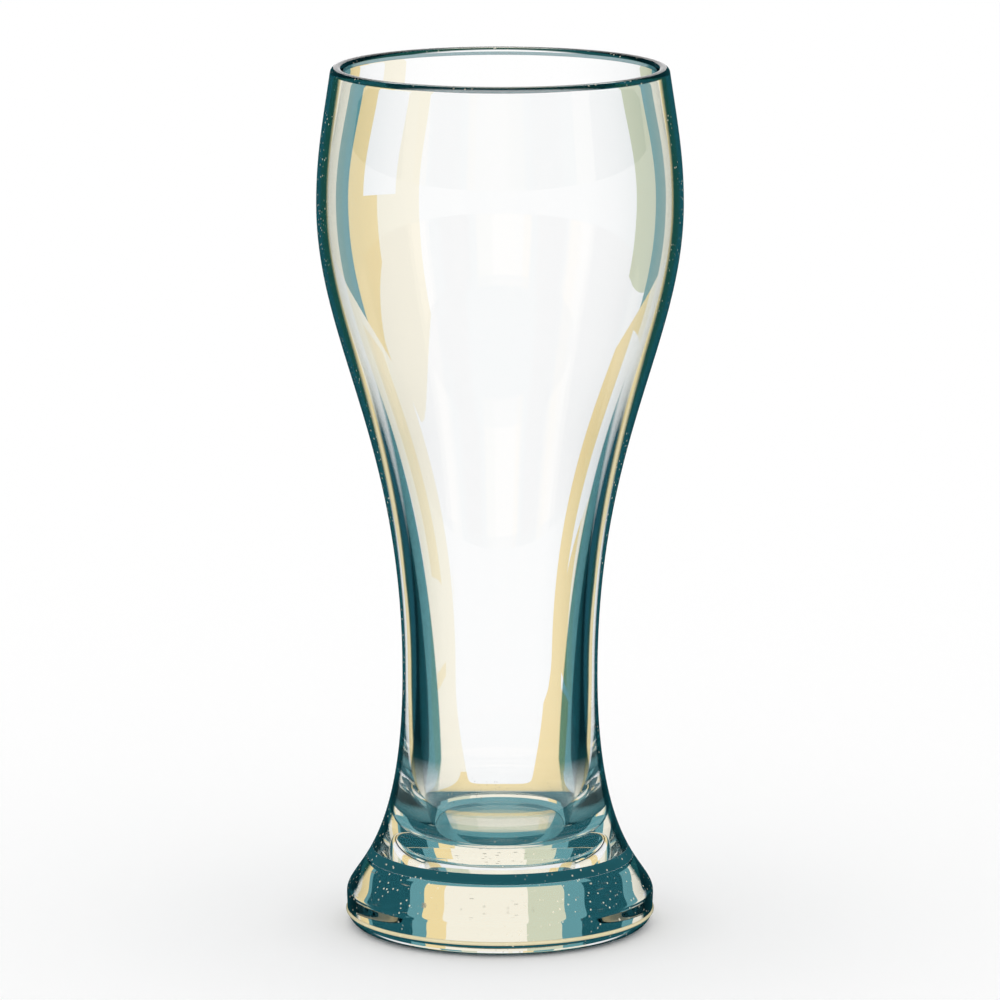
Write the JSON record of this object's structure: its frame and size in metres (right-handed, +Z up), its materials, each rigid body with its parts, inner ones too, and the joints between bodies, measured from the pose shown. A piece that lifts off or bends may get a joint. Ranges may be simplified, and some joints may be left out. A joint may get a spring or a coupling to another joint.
{
  "type": "wheat beer glass",
  "caption": "Tall clear wheat beer glass with a rounded lip, wide belly, narrow waist and thick flared foot, for serving beer under a deep head of foam.",
  "frame": {"origin": "centre of the flat underside of the foot, in the plane that the glass stands on", "axes": "+Z up along the axis of revolution, from the foot to the mouth"},
  "size_m": [0.0926, 0.0926, 0.22],
  "materials": {
    "bowl_glass": "clear polished glass with a teal tint at the edges",
    "collar_glass": "polished teal glass",
    "foot_glass": "clear pressed and polished glass, teal in the thick of it"
  },
  "bodies": {
    "root": {"bowl": "bowl_glass", "collar": "collar_glass", "foot": "foot_glass"}
  },
  "joints": []
}
